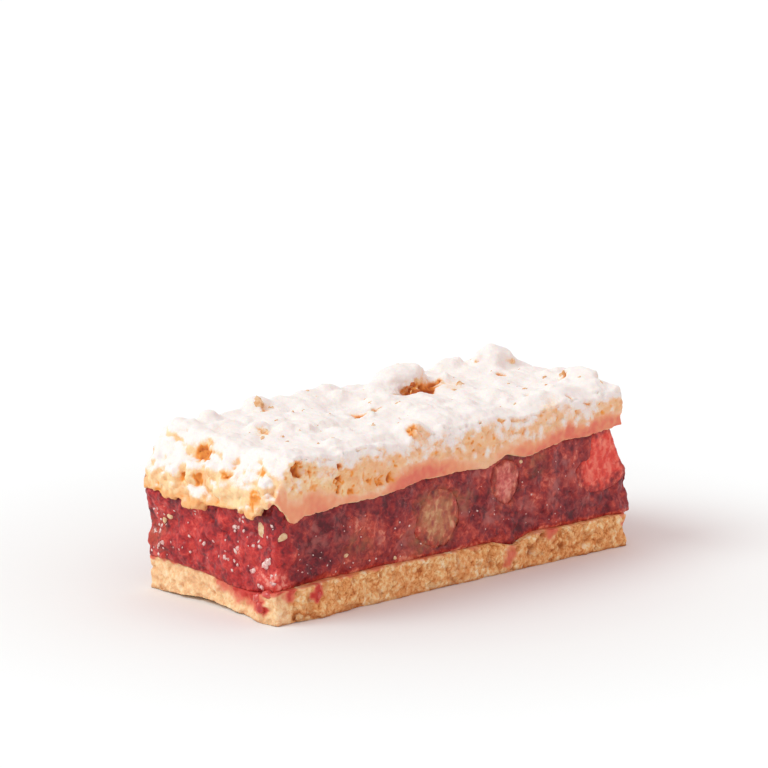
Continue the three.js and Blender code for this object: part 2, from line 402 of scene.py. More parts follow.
def placeStudio():
    world = bpy.data.worlds.new("softStudio")
    world.use_nodes = True
    background = world.node_tree.nodes["Background"]
    background.inputs["Color"].default_value = linearColour(studio["skyColour"])
    background.inputs["Strength"].default_value = studio["skyStrength"]
    bpy.context.scene.world = world
    key = bpy.data.objects.new("keyLight", bpy.data.lights.new("keyLight", "SUN"))
    key.data.energy = studio["keyStrength"]
    key.data.angle = math.radians(studio["keySpread"])
    key.data.color = linearColour(studio["keyColour"])[:3]
    key.rotation_euler = (math.radians(90 - studio["keyHeight"]), 0, math.radians(studio["keyFrom"] + 90))
    bpy.context.scene.collection.objects.link(key)
    shape = bmesh.new()
    bmesh.ops.create_grid(shape, x_segments=4, y_segments=4, size=studio["floorHalf"] * mm)
    mesh = bpy.data.meshes.new("paperFloor")
    shape.to_mesh(mesh)
    shape.free()
    floor = bpy.data.objects.new("paperFloor", mesh)
    floor.location.z = -studio["floorDrop"] * mm
    bpy.context.scene.collection.objects.link(floor)
    # matt uncoated paper with painted shade, greyer under the cake: no gloss, so the floor shows only soft
    # shade
    paper, tree, shader, place, _ = startMaterial("mattPaper", Roughness=1.0)
    away = addNode(tree, "ShaderNodeVectorMath", {"operation": "LENGTH"}, {0: place})
    fade = dict(enumerate([reach * mm for reach in studio["floorShadeFade"]], 1))
    share = addNode(tree, "ShaderNodeMapRange", fade, {0: away.outputs["Value"]})
    ramp = addNode(tree, "ShaderNodeValToRGB", {"stops": studio["floorShadeColours"]}, {"Fac": share.outputs[0]})
    tree.links.new(ramp.outputs["Color"], shader.inputs["Base Color"])
    mesh.materials.append(paper)
    bpy.context.scene.view_settings.view_transform = "Standard"
    print("camera, floor and light placed")


# shortcrust base

shortcrust = {
    "voxel": 0.26,
    "covered": (53, 20.5),  # within this, from the middle outwards, faces this level or more are hidden
    "coveredLevel": 0.8,
    "blurs": 3,
    "endFace": (50, 54),  # how far towards -X the paler crushed end begins, its paleness partly painted light
    "grainPitch": 1.25,
    "clumpPitch": 2.75,
    "grainRelief": 0.34,
    "swellRelief": 0.35,
    "porePitch": 1.9,
    "poreDepth": 0.4,
    "rimLevel": 8,  # where the base's top begins, which juice has reached in most places
    "footLift": 1.0,  # the crushed end's lower edge stands clear of the floor
    "footMiddle": (4, 12),  # across, and its reach
    "patterns": {"fine": 0.45, "mid": 1.1, "wide": 7},
    "colours": [(0.1, "#a95420"), (0.35, "#da8c4a"), (0.6, "#f0b272"), (0.85, "#fcd9a0"), (1, "#ffe9c4")],
    # holes in the cut faces, also painted darker as shade: centre, reach, depth
    "holes": [
        (34.3, -23, 3.2, 1, 1.3), (27.5, -23, 6.9, 0.9, 1.1), (23.6, -23, 3.6, 0.9, 0.8),
        (11.4, -23, 7.6, 0.8, 0.8), (-49.7, -23, 1.6, 1.3, 0.8), (-46.2, -23, 5.4, 1, 0.8),
        (-56, -11.5, 4.5, 1, 0.9), (-56, 3, 5.5, 0.9, 0.6),
    ],
    # where juice has run over it: centre, reach, strength
    "juice": [
        (-56, -18.2, 3.4, 1.5, 1.3), (-56, -17, 5.6, 2.4, 1.1), (-56, -13, 5.8, 2.9, 1.2),
        (-55.5, -8, 5.9, 3, 1.1), (-55.5, -2.5, 6.8, 2.8, 0.9), (-52, -23, 6.9, 2.2, 1),
        (-44.2, -23.2, 5.4, 1.5, 1.4), (-43.6, -23.2, 7.4, 1.6, 0.9), (17.5, -23.2, 4.8, 2.6, 0.55),
        (16.2, -23.2, 1.6, 2.2, 0.45), (31, -23.2, 8.2, 2.6, 0.8), (56, -22, 6, 1.6, 0.9),
    ],
    # browner places of the long side: centre, reach, strength
    "toasted": [
        (-36, -23, 3, 6, 0.6), (-13, -23, 1.5, 4, 0.5), (8, -23, 6.5, 4, 0.5), (34, -23, 2.5, 5.5, 0.85),
        (49, -23, 3, 8, 0.35), (22, -23, 3, 6, 0.25), (-50, -23, 0, 3, 0.8),
    ],
}


def shortcrustMaterial():
    # baked shortcrust: a dry, short crumb of packed grains, painted darker in its gaps and pores as shade and
    # lighter on the grains' domes as highlight, soaked red by juice
    material, tree, shader, place, marks = startMaterial(
        "bakedShortcrust", ("tint", "hole", "browned", "pale", "juice"),
        Roughness=0.85, Subsurface_Weight=0.1, Subsurface_Scale=1.0 * mm,
    )
    pitch = shortcrust["patterns"]
    fine = clouds(tree, place, pitch["fine"], 3.0)
    mid = clouds(tree, place, pitch["mid"], 3.0, 0.6)
    wide = clouds(tree, place, pitch["wide"])
    level = sumOf(tree, -0.7, [(marks["tint"], 1.0), (fine, 0.8), (mid, 0.85)])
    crumb = addNode(tree, "ShaderNodeValToRGB", {"stops": shortcrust["colours"]}, {"Fac": level})
    soak = sumOf(tree, marks["juice"], [(fine, 0.3)])
    # the -X end, which faces the key light, is painted paler, partly as painted light
    colour = layerColours(tree, crumb.outputs["Color"], [
        (softStep(tree, wide, 0.45, 0.75, 0.4), "#e08e4f"), (marks["pale"], "#f8cfa6"),
        (marks["hole"], "#b3662c"), (marks["browned"], "#a3541f"),
        (softStep(tree, soak, 0.3, 0.8, 0.9), "#e06a55"), (softStep(tree, soak, 0.75, 1.15, 0.9), "#c8332f"),
    ])
    tree.links.new(colour, shader.inputs["Base Color"])
    addBump(tree, shader, sumOf(tree, 0.0, [(fine, 0.5), (mid, 0.5)]), 0.6, 0.3)
    return material


def makeBase():
    look = shortcrust
    piece = newPiece("shortcrustBase", nodeCopy("shortcrust_base"), ["shortcrust_base"])
    points, normals = evenMesh(piece, look, shortcrustMaterial())
    side = upright(normals)
    endFace = ease(-points[:, 0], *look["endFace"])
    pores = ease(-grain(points, look["porePitch"], seed=1), 0.25, 0.8)
    strewn = wandering(points, 1.8, 0.55, 11)
    dome, edge, tint = cells(strewn, look["grainPitch"], seed=2)
    bigDome, bigEdge, bigTint = cells(strewn, look["clumpPitch"], seed=4)
    holes = spots(wandering(points, 1.2, 0.5, 21), look["holes"])
    height = look["grainRelief"] * (dome + bigDome - 1.6) - look["poreDepth"] * pores
    height += look["swellRelief"] * grain(points, 4, 3)
    points += normals * (height * side - holes)[:, None]
    middle, reach = look["footMiddle"]
    liftedFoot = ease(-points[:, 0], 51, 54) * np.exp(-((points[:, 1] - middle) / reach) ** 2)
    points[:, 2] = np.maximum(points[:, 2], look["footLift"] * liftedFoot)
    writePoints(piece, points)
    juice = spots(wandering(points, 1.5, 0.7, 31), look["juice"])
    toasted = spots(points, look["toasted"]) + 0.25 * grain(points, 4, 12)
    fromTop = points[:, 2] - look["rimLevel"] + 0.7 * grain(points, 2.2, 5)
    rim = ease(fromTop, -1.3, 0.2) * (0.4 + 0.25 * grain(points, 5, 15) + 0.35 * endFace)
    # painted shade: gaps between grains, pores and holes darker; painted highlight: grain domes lighter
    between = ease(edge, 0.7, 1) * ease(bigEdge + 0.6 * grain(points, 2, 16), 0.5, 1) * (0.7 - 0.4 * endFace)
    tone = 0.56 + 0.2 * tint + 0.1 * bigTint + 0.2 * (dome - 0.7) + 0.14 * grain(points, 0.9, 17)
    return finishPiece(
        piece, tint=tone - 0.14 * between - 0.28 * toasted * (1 - endFace),
        hole=(0.5 * pores + between) * side * (0.8 - 0.3 * endFace) + 0.9 * holes,
        browned=ease(-points[:, 2], -1.0, 0.0) * (0.55 + 0.4 * grain(points, 3, 4)) * side,
        pale=0.5 * endFace, juice=np.maximum(juice, rim),
    )


# currant filling

currantJelly = {
    "voxel": 0.35,
    "covered": (50, 18),
    "coveredLevel": 0.6,
    "blurs": 9,
    "endFace": (47.5, 54),  # how far towards -X the filling turns brighter and more crushed
    "berryPitch": 4.4,
    "berryRelief": (0.35, 0.7),  # on the long sides and on the crushed end
    "beadPitch": 2.0,
    "beadRelief": (0.12, 0.42),
    "swellPitch": 3,
    "swellRelief": (0.3, 0.6),  # along the bar and on the +X end
    "seamGrowth": 0.4,  # up and down, which closes the seams to the layers above and below
    "floorLevel": 8.3,  # where the filling lies on the base
    "haze": "#ad625d",
    "fade": "#b1784f",
    "patterns": {"fine": 1.15, "pulp": 3.6, "beads": 2.1, "threads": 1.5},
    "longSide": [(0, "#580b18"), (0.25, "#7e1823"), (0.5, "#a02e2b"), (0.75, "#c64e3f"), (1, "#ec957c")],
    "crushedEnd": [(0, "#660f1c"), (0.25, "#9e1f25"), (0.5, "#c23230"), (0.75, "#dc4e44"), (1, "#f49b8b")],
    # darker (-) and brighter (+) places: centre, reach, change
    "tones": [
        (-43.5, -22, 12.5, 4.2, -0.42), (-47, -22, 9.5, 3, -0.2), (-38.5, -22, 20.5, 5.5, -0.28),
        (-50, -22, 15, 4, 0.1), (-19.5, -22, 23.2, 3.4, -0.25), (-16.5, -22, 13.5, 3.6, 0.14),
        (-32.5, -22, 18, 4, 0.05), (-25, -22, 17.5, 3, 0.22), (-27, -22, 11.5, 4, 0.05),
        (-11.5, -22, 19.5, 2.6, -0.3), (5, -22, 22.5, 4, -0.12), (7.5, -22, 13, 3.2, -0.12),
        (17, -22, 11.5, 5, -0.2), (28, -22, 15, 4, 0.1), (18.5, -22, 28, 2.4, -0.6),
        (24, -22, 12, 2.6, -0.3), (30, -22, 24, 5, -0.08), (39, -22, 12.5, 3, -0.1),
        (49.5, -22, 11.5, 4, -0.15), (-54.5, 15, 22.8, 4, -0.05), (-54.5, 2, 23.2, 2.6, -0.25),
        (-54.5, -18.5, 24.5, 3.4, -0.45), (-54.5, -17, 16.5, 3, 0.1), (-52.4, -22, 8.6, 3, 0.55),
        (-54.5, 8, 17.5, 2.6, 0.25), (-54.5, -1.7, 16.5, 2.6, 0.25), (-54.5, -6, 21, 3, -0.15),
        (-54.5, 19.5, 20, 2.4, 0.25), (-54.5, -19, 10.5, 3.4, 0.3), (-54.5, 2, 11, 3, -0.15),
        (-54.5, 22.9, 17.2, 1.4, -0.9),
    ],
    # milky skins, and places where pale flesh shows through: centre, reach, strength
    "hazes": [
        (-42.4, -22, 18.5, 3.6, 0.8), (-24, -22, 14, 3.4, 0.4), (-33, -22, 20, 5, 0.4),
        (-14.8, -22, 25, 2.4, 0.6), (-14.8, -22, 13, 3.4, 0.95), (1.5, -22, 17, 3.4, 0.7),
        (6.8, -22, 24.5, 2.6, 0.7), (12, -22, 15, 3.4, 0.6), (24, -22, 14, 3.6, 0.7),
        (33, -22, 17, 3.2, 0.6), (36.5, -22, 22, 3.4, 0.6), (44, -22, 13.5, 3.2, 0.6),
    ],
    # brown, faded skin: centre, reach, strength
    "faded": [
        (26.9, -22, 24.6, 3, 0.45), (-12, -22, 12, 3.6, 0.5), (3.4, -22, 20, 2.6, 0.6),
        (-30, -22, 15.5, 4.5, 0.4), (-54.5, 20, 13.6, 3.6, 0.5),
    ],
}


def jellyMaterial(name, colours, hazeColour):
    # fruit cooked to a jelly: moist, a little see-through, with darker insides and milky skins, and painted
    # shade in the creases between its beads
    material, tree, shader, place, marks = startMaterial(
        name, ("tone", "haze", "faded", "crushed"), Roughness=0.42, IOR=1.35, Subsurface_Weight=0.25,
        Subsurface_Scale=1.4 * mm, Subsurface_Radius=(1, 0.3, 0.22), Coat_Weight=0.22,
        Coat_Roughness=0.12, Coat_IOR=1.35,
    )
    pitch = currantJelly["patterns"]
    fine = clouds(tree, place, pitch["fine"], 3.0, 0.8)
    pulp = clouds(tree, place, pitch["pulp"], 3.0, 0.9)
    settings = {"feature": "SMOOTH_F1", "Scale": 1 / (pitch["beads"] * mm), "Smoothness": 0.7}
    beads = addNode(tree, "ShaderNodeTexVoronoi", settings, {"Vector": place}).outputs["Distance"]
    # the beads' distance darkens the creases where the bump dips: painted shade
    level = sumOf(tree, -0.68, [(marks["tone"], 1.0), (fine, 1.15), (pulp, 0.6), (beads, -0.35)])
    flesh = []
    for stops in colours:
        flesh.append(addNode(tree, "ShaderNodeValToRGB", {"stops": stops}, {"Fac": level}).outputs["Color"])
    skin = softStep(tree, sumOf(tree, marks["haze"], [(pulp, 0.3), (fine, 0.4)]), 0.4, 1.0, 0.75)
    threads = softStep(tree, clouds(tree, place, pitch["threads"], 4.0, 2.0), 0.58, 0.72, 0.4)
    colour = layerColours(tree, flesh[0], [
        (marks["crushed"], flesh[-1]), (threads, hazeColour), (skin, hazeColour),
        (marks["faded"], currantJelly["fade"]),
    ])
    tree.links.new(colour, shader.inputs["Base Color"])
    addBump(tree, shader, sumOf(tree, 0.0, [(fine, 0.7), (beads, -0.6)]), 0.5, 0.3, ("Normal", "Coat Normal"))
    return material


def pieceDistance(points, node):
    # distance in the cut face from the middle of a fruit piece: 1 at the outline of its cut
    low, high = [np.array(corner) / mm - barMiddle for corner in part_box(node)]
    across = (points - (low + high) / 2) / ((high - low) / 2)
    return np.hypot(across[:, 0], across[:, 2]) / fruitLooks[node]["section"]


def halo(points, node):
    # a paler ring that a fruit piece and the filling around it have in common, on the long face alone
    away = pieceDistance(wandering(points, 3, 1.2, 41), node)
    return fruitLooks[node]["halo"] * np.exp(-((away - 0.9) / 0.35) ** 2) * ease(-points[:, 1], 14, 18)


def makeFilling():
    look = currantJelly
    piece = newPiece("currantFilling", nodeCopy("currant_filling"), ["currant_filling"])
    colours = (look["longSide"], look["crushedEnd"])
    points, normals = evenMesh(piece, look, jellyMaterial("setCurrantJelly", colours, look["haze"]))
    endFace = ease(-points[:, 0] + 0.9 * grain(points, 4, 9), *look["endFace"])
    berry, berryEdge, berryTint = cells(points, look["berryPitch"], seed=1)
    bead, beadEdge, beadTint = cells(points, look["beadPitch"], seed=2)
    height = mixed(look["berryRelief"], endFace) * (berry - 0.7)
    height += mixed(look["beadRelief"], endFace) * (bead - 0.6)
    swell = mixed(look["swellRelief"], ease(points[:, 0], 46, 54))
    height += swell * grain(points, look["swellPitch"], seed=3) + 0.14 * grain(points, 1.1, 13)
    points += normals * (height * upright(normals))[:, None]
    points[:, 2] += look["seamGrowth"] * ease(np.abs(normals[:, 2]), 0.2, 0.7) * np.sign(normals[:, 2])
    writePoints(piece, points)
    uneven = wandering(points, 3, 1.2, 41)
    spread = 0.14 * berryTint + 0.1 * beadTint + 0.16 * grain(points, 6, 4)
    # darker along the edges between berries and beads, where the relief dips: painted shade
    tone = 0.5 + spread - 0.12 * berryEdge - (0.03 + 0.08 * endFace) * beadEdge
    tone += spots(uneven, look["tones"])
    floorLine = points[:, 2] - look["floorLevel"] - 0.6 * grain(points, 6, 7)
    tone += 0.36 * (1 - ease(floorLine, 0.0, 1.0)) * (1 - endFace)
    haze = spots(uneven, look["hazes"]) * (0.6 + 0.6 * grain(points, 1.6, 8)) + 0.15 * grain(points, 4, 6)
    faded = spots(uneven, look["faded"])
    for node in fruitLooks:
        faded += halo(points, node)
    faded *= 0.55 + 0.6 * grain(points, 1.5, 18)
    return finishPiece(piece, tone=tone, haze=haze * (1 - 0.8 * endFace), faded=faded, crushed=endFace)


# larger pieces of fruit, cut through in the long face

fruitLooks = {
    # section: the cut's half sizes as a share of the whole piece's
    "pale_berry": {
        "name": "paleBerry", "slot": "pale_fruit", "haze": "#d9ab7c",
        "section": 0.78, "streaks": 0.24, "rim": 0.85, "core": 0.6, "halo": 0.5,
        "colours": [(0, "#91423e"), (0.3, "#ae5c4a"), (0.55, "#c07252"), (0.8, "#cd9068"), (1, "#e2b68a")],
    },
    "rose_berry": {
        "name": "roseBerry", "slot": "rose_fruit", "haze": "#e08c7c",
        "section": 0.76, "streaks": 0.2, "rim": 0.95, "core": 0, "halo": 0.25,
        "colours": [(0, "#8c2f37"), (0.3, "#b04643"), (0.6, "#cf625a"), (1, "#ee9e8e")],
    },
    "red_fruit_piece": {
        "name": "redFruitPiece", "slot": "red_fruit", "haze": "#ee7562",
        "section": 0.94, "streaks": 0.1, "rim": 1.05, "core": 0, "halo": 0,
        "colours": [(0, "#b82825"), (0.3, "#d4372d"), (0.6, "#e6493b"), (1, "#f6846e")],
    },
}

fruitShape = {"voxel": 0.24, "blurs": 4, "sideGrowth": 0.5, "beadPitch": 2.4, "relief": 0.15}


def makeFruitPieces():
    form = fruitShape
    for node, look in fruitLooks.items():
        piece = newPiece(look["name"], nodeCopy(node), [node])
        colours = (currantJelly["longSide"], look["colours"])
        points, normals = evenMesh(piece, form, jellyMaterial(look["name"] + "Flesh", colours, look["haze"]))
        bead, _, tint = cells(points, form["beadPitch"], seed=2)
        # grown sideways into its hollow, so no gap shows, and left level with the filling in front
        height = form["sideGrowth"] * (1 - ease(-normals[:, 1], 0.3, 0.9))
        height += form["relief"] * (grain(points, 2.6, 1) + bead - 0.6) + 0.1 * grain(points, 1, 2)
        points += normals * height[:, None]
        writePoints(piece, points)
        outward = pieceDistance(wandering(points, 2.4, 1.3, 71), node) + 0.2 * grain(points, 1.1, 8)
        streaks = grain(wandering(points, 3, 0.6, 75) / np.array((1, 1, 3.5)), 1, 7)
        core = look["core"] * (1 - ease(outward + 0.3 * grain(points, 1.3, 9), 0.2, 0.9))
        core *= 0.6 + 0.5 * streaks + 0.5 * grain(points, 1.2, 12)
        rim = ease(outward, look["rim"] - 0.45, look["rim"] + 0.15)
        tone = 0.66 - 0.16 * rim + look["streaks"] * streaks + 0.2 * grain(points, 1.4, 4) + 0.06 * tint
        haze = 0.7 * ease(streaks + 0.4 * grain(points, 1.8, 6), 0.2, 0.9) * (1 - rim)
        faded = core + halo(points, node) * (0.55 + 0.6 * grain(points, 1.5, 18))
        finishPiece(piece, tone=tone, haze=haze, faded=faded, crushed=1 - rim)


# seeds, pale bits that partly stand for painted glints, and drips of juice on the filling

fruitBits = {
    # seeds lying in the surface: face and place on it, half sizes, turn in degrees
    "seeds": [
        ("end", -16.6, 21.5, (0.9, 1.5, 2.7), 8), ("front", -52.9, 19.9, (1.6, 0.9, 1.2), 20),
        ("end", 15.8, 18.4, (0.6, 1, 0.7), 0), ("end", 17.8, 17.2, (0.5, 0.7, 0.9), 0),
        ("front", 18.1, 26.8, (0.7, 0.55, 0.9), 30), ("front", 21.5, 26, (0.5, 0.4, 0.8), 80),
        ("front", -18.6, 9.4, (0.45, 0.4, 0.7), 45), ("front", -33.8, 12.6, (0.5, 0.4, 0.7), 110),
    ],
    # pale bits of skin and pulp on the crushed end, partly standing in as painted glints: across, up, how
    # many, half size
    "glintClusters": [
        (-19.1, 13.4, 3, 0.85), (-20.5, 11.8, 3, 0.55), (-20.6, 9.8, 2, 0.5), (-17, 8.9, 4, 0.6),
        (-13.5, 10.8, 2, 0.75), (-16.5, 17.6, 3, 0.6), (-9.2, 14.9, 3, 0.6), (-12.8, 17.9, 2, 0.45),
        (-7.9, 19.6, 3, 0.55), (-11.1, 22.5, 3, 0.6), (-7.6, 22.8, 2, 0.45), (-4.6, 12.6, 2, 0.45),
        (-7.8, 12.3, 2, 0.5), (3.9, 14.8, 2, 0.55), (5.6, 20.5, 2, 0.5), (19.6, 14.9, 4, 0.6),
        (21.1, 13.5, 3, 0.5), (17.9, 11.4, 4, 0.5), (20.8, 19.6, 3, 0.45), (14.6, 12.2, 2, 0.4),
    ],
    # stray bits, also painted glints: how many, and the ranges of their place and half size
    "strayGlintBits": {"count": 40, "across": (-22, 22), "up": (9, 23), "size": (0.2, 0.55)},
    "longSideGlintBits": {"count": 70, "along": (-50, 50), "up": (9, 23), "climb": 0.05, "size": (0.14, 0.32)},
    # drips of thick juice on the base: face and place on it, half sizes
    "drips": [
        ("end", -18.3, 3.8, (1, 0.9, 1.5)), ("end", -16.6, 5.6, (1.3, 1.2, 1.2)),
        ("end", -13.2, 6.6, (1.5, 1.7, 0.9)), ("end", -20.2, 7, (1.2, 1.5, 0.9)),
        ("front", -43.6, 5.2, (0.6, 0.5, 0.9)), ("end", -6.5, 7, (1.2, 2.2, 0.8)),
        ("end", -1, 7.4, (0.9, 1.8, 0.7)), ("farEnd", -21.6, 7, (0.9, 1, 1.1)),
    ],
}


def plainMaterial(name, colours, pitch, **sockets):
    # two tones of one finish, in soft clouds
    material, tree, shader, place, _ = startMaterial(name, **sockets)
    fine = clouds(tree, place, pitch, 3.0)
    stops = [(0.35, colours[0]), (0.65, colours[1])]
    ramp = addNode(tree, "ShaderNodeValToRGB", {"stops": stops}, {"Fac": fine})
    tree.links.new(ramp.outputs["Color"], shader.inputs["Base Color"])
    addBump(tree, shader, fine, 0.4, 0.1)
    return material


def makeFruitBits(filling, base):
    look = fruitBits
    seeds = []
    for face, one, other, radii, lean in look["seeds"]:
        spot, normal = landing(filling, face, one, other)
        turn = Matrix.Rotation(math.radians(lean), 3, normal)
        seeds.append((spot - 0.25 * min(radii) * np.array(normal), radii, turn))
    # currant seeds: hard, cream to tan, with a dull shine
    hull = plainMaterial("seedHull", ("#d9ab7c", "#f0d3aa"), 0.8, Roughness=0.45)
    newPiece("currantSeeds", lumpShape(lumpTemplates(5, 2, 0.25), seeds), (), hull)
    bits = []
    for across, up, count, size in look["glintClusters"]:
        for _ in range(count):
            place = (across + random.uniform(-1.3, 1.3), up + random.uniform(-1, 1))
            bits.append(("end", *place, size * random.uniform(0.5, 1.4)))
    stray = look["strayGlintBits"]
    for _ in range(stray["count"]):
        place = (random.uniform(*stray["across"]), random.uniform(*stray["up"]))
        bits.append(("end", *place, random.uniform(*stray["size"])))
    stray = look["longSideGlintBits"]
    for _ in range(stray["count"]):
        along = random.uniform(*stray["along"])
        low, high = stray["up"]
        up = random.uniform(low, high + stray["climb"] * along)
        bits.append(("front", along, up, random.uniform(*stray["size"])))
    placed = []
    for face, one, other, size in bits:
        spot, normal = landing(filling, face, one, other)
        if spot is not None:
            radii = (size, size * random.uniform(0.55, 1), size * random.uniform(0.35, 0.6))
            placed.append((spot, radii, anyTurn(normal)))
    # bits of skin and pulp, and painted glints on the wet fruit: pale pink to white, wet
    pulp = plainMaterial("pulpAndGlints", ("#d99590", "#f6ddd5"), 0.9, Roughness=0.3, Coat_Weight=0.4)
    newPiece("paleBitsAndGlints", lumpShape(lumpTemplates(8, 1, 0.6), placed), (), pulp)
    drips = []
    for face, one, other, radii in look["drips"]:
        spot, normal = landing(base, face, one, other)
        drips.append((spot - 0.4 * min(radii) * np.array(normal), radii, Matrix.Identity(3)))
    # thick juice that has run down: dark red, clear and glossy
    juice = plainMaterial("thickJuice", ("#bf2f34", "#dd5d4e"), 1.5, Roughness=0.3, Subsurface_Weight=0.4,
                          Subsurface_Scale=1.0 * mm, Coat_Weight=0.3)
    newPiece("juiceDrips", lumpShape(lumpTemplates(6, 3, 0.25), drips), (), juice)
    print("seeds, pale bits and drips placed")


# crumble topping under icing sugar

butterCrumble = {
    "firstVoxel": 0.42,  # before the crumbs are joined
    "voxel": 0.38,
    "covered": (52, 18),
    "coveredLevel": 0.5,
    "openTop": True,
    "blurs": 0,
    "rim": {"outside": -22.6, "inside": -21.6, "top": 33},  # the lip over the long face: across, and up
    "sawnSide": (20, 21.5),  # from the middle outwards, where the sawn faces begin
    "sawnEnd": (50.5, 52.5),
    "crushedEnd": (47, 55),  # how far towards -X the topping turns crumbly
    "corner": {"middle": (-55.5, -23.5), "reach": (1.5, 5), "up": (29, 31), "blurs": 40},
    "sunk": 0.45,  # how far the surface is lowered to make room for the crumbs and the sugar
    # scattered crumbs: how many, faces, ranges of the two measures there, least half size, spread, rarity
    "crumbs": [
        (230, ["top"], (-53, 54), (-21, 22), 0.8, 2, 1.8),
        (150, ["slope"], (-21, 22), (26, 38), 1.2, 2, 1.3),
        (240, ["front", "front", "back"], (-52, 54), (31, 40), 0.6, 1.1, 1.5),
    ],
    "endLimit": -46,  # crumbs aimed at the crushed end that land beyond this are left out
    "grainPitch": 1.3,
    "grainRelief": (0.4, 0.55),  # on the rough faces and on the sawn ones
    "clumpPitch": 2.9,
    "clumpRelief": {"sawn": 0.35, "crushed": 0.9},
    "poreDepth": 0.4,
    "powderFall": {"lean": 0.55, "turns": (0.4, 1.7, 2.9, 4.2, 5.4), "start": 0.35, "reach": 15},
    "sugarThickness": 0.4,
    # mm; real powder is far finer, and is drawn as coarse as it needs to show
    "patterns": {"fine": 0.6, "powder": 0.45, "drift": 5.0},
    "colours": [(0.15, "#e9a568"), (0.45, "#f4c692"), (0.75, "#fbdcab")],
    # toasted colours, which also carry painted shade in hollows, gaps and under the crushed end's lower edge
    "toastAndShadeColours": [(0.15, "#f7c188"), (0.5, "#ef9640"), (1, "#bd602a")],
    "stains": [(0, "#f6cba8"), (0.45, "#f1a47c"), (1, "#e67b66")],
    # how high juice has stained the long cut side above its lower edge, and how strongly
    "stainPlaces": [-55, -50, -40, -36, -24, -18, -8, 2, 8, 14, 18, 28, 36, 55],
    "stainHeights": [6.0, 5.6, 4.2, 1.6, 1.4, 4.2, 4.2, 3.0, 2.0, 2.4, 3.2, 3.4, 3.6, 3.0],
    "stainStrengths": [0.5, 0.5, 0.7, 0.4, 0.4, 1.0, 0.9, 0.45, 0.15, 0.3, 0.5, 0.85, 0.9, 1.0],
    # soft rises: along, across, reach, height
    "rises": [
        (4.6, 11, 3.6, 1.4), (-52.5, 18.5, 4, 1.5), (-22, 20, 8, 0.9), (-8, 20, 6, 0.7),
        (54, -18, 4.5, 1.1),
    ],
    # gaps between crumbs, where the sugar has not reached and painted shade darkens them: centre, reach,
    # depth
    "gaps": [
        (5.6, 4.4, 39.4, 1.3, 1.2), (8.4, 4.6, 39.6, 1.6, 1.6), (11.6, 5, 39.6, 1.9, 2),
        (14.8, 5.4, 39.8, 1.9, 2), (17.6, 6.2, 40.2, 1.5, 1.4), (20.4, 7, 41, 1.5, 0.9),
        (-40.6, -0.6, 39.2, 1.4, 0.7), (-12.4, -1.8, 38.8, 1.8, 0.9), (-6.4, -1, 38.9, 1.1, 0.8),
        (27, -1, 39.6, 0.9, 0.7), (30.6, -14.6, 39.4, 1, 0.7), (39, 3.4, 40.6, 1.2, 0.8),
        (47.4, -8.8, 41, 1.2, 0.9), (-27.5, 13, 41, 1.2, 0.7), (-53.4, 6.3, 35.2, 1.8, 2.2),
        (-54, 3.8, 34.6, 1.2, 1.4), (-56.2, 4.5, 29.5, 1.5, 1.5), (-56.6, 9.6, 28.8, 1.2, 1),
        (-56.6, 17, 26.2, 1.3, 0.9), (-56, -5, 32.2, 1.3, 1.2), (-54.8, -6.4, 34.4, 1.1, 0.9),
        (-55.2, -16.6, 34.4, 1.3, 1.2), (-56.4, -16, 28.4, 1.7, 2), (-49.5, -22.6, 35, 1.5, 1.8),
        (-45.4, -23, 34.2, 1.2, 1), (-37.2, -23, 34, 0.9, 1.2), (-37, -23, 31, 1, 1.6),
        (-36.8, -23, 28.4, 0.9, 1.4), (-33, -23, 27.5, 1.2, 0.9), (-27.5, -23, 29.2, 1.3, 0.9),
        (-24.5, -23, 28.4, 1.2, 0.9), (-21, -23, 28.8, 1.2, 1), (-13, -21.2, 39.2, 1.2, 1),
        (3.7, -23, 33.2, 1, 0.5), (15.1, -22.6, 37, 1.1, 0.6), (38.2, -21.6, 39.4, 0.9, 0.8),
        (43.2, -22.8, 36.8, 0.8, 0.7),
    ],
    # crumbs whose sugar is thin: centre, reach, strength
    "thinSugar": [
        (20.9, 1.7, 41.2, 3.4, 0.6), (23.5, 3.5, 41.5, 3, 0.5), (-57.2, -8.5, 29.8, 4, 0.8),
        (-41, -1.5, 39, 3.4, 0.45), (-46, 8, 37.5, 6, 0.5), (-11.6, -21.6, 37.6, 2.4, 0.9),
        (-8, -1.4, 39, 2.6, 0.5), (29.5, -22.6, 37.4, 3.2, 0.8), (8, -21.6, 38.5, 3, 0.4),
        (22, -21.5, 39.6, 3, 0.5), (33.5, -21, 40.2, 3.4, 0.6), (44, -21, 40.6, 3.4, 0.5),
        (-46, -22.8, 31, 5, 0.35), (-27, 14, 40.6, 4, 0.4),
    ],
}


def squareRim(shape):
    # over the long face the rim hangs as a wedge: its inner edge is lowered to its outer edge's level
    rim = butterCrumble["rim"]
    edge = {}
    for vert in shape.verts:
        x, y, z = np.array(vert.co) / mm - barMiddle
        if y < rim["outside"]:
            edge[round(x, 1)] = min(z, edge.get(round(x, 1), z))
    along = sorted(edge)
    levels = [edge[place] for place in along]
    for vert in shape.verts:
        x, y, z = np.array(vert.co) / mm - barMiddle
        if rim["outside"] <= y < rim["inside"] and z < rim["top"]:
            vert.co.z = min(z, np.interp(x, along, levels)) * mm


def scatterCrumbs(tree):
    look = butterCrumble
    templates = lumpTemplates(24, 2, 0.45)
    starts = []
    for count, faces, oneRange, otherRange, least, spread, rarity in look["crumbs"]:
        for _ in range(count):
            size = least + spread * random.random() ** rarity
            face = random.choice(faces) if len(faces) > 1 else faces[0]
            starts.append((face, random.uniform(*oneRange), random.uniform(*otherRange), size))
    placed = []
    for face, one, other, size in starts:
        spot, normal = landing(tree, face, one, other)
        radii = (size, size * random.uniform(0.75, 1), size * random.uniform(0.6, 0.85))
        if spot is not None and (face != "slope" or spot[0] < look["endLimit"]):
            placed.append((spot - np.array(normal) * size * random.uniform(0.3, 0.7), radii, anyTurn(normal)))
    return lumpShape(templates, placed)


